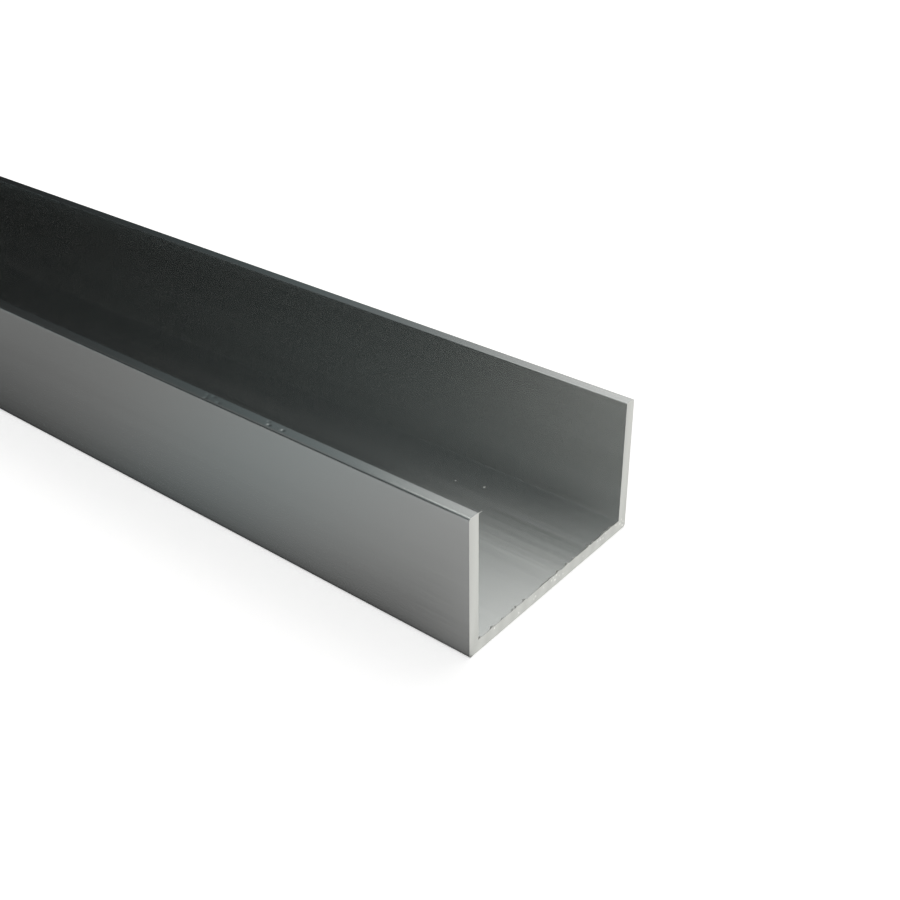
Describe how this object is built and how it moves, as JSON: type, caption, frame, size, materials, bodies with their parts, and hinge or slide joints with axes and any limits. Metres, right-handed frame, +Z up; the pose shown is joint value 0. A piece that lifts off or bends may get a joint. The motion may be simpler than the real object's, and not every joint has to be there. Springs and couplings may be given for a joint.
{
  "type": "aluminium u-channel",
  "caption": "Straight extruded aluminium U-channel with a flat web, two upright flanges of equal wall and square sawn ends.",
  "frame": {"origin": "middle of the underside of the web, halfway along the length", "axes": "+X along the length, +Y across the width from one flange to the other, +Z up from the web to the flange tips"},
  "size_m": [1, 0.06, 0.035],
  "materials": {
    "aluminium": "satin extruded skin, sawn ends"
  },
  "bodies": {
    "root": {"u_channel": "aluminium"}
  },
  "joints": []
}
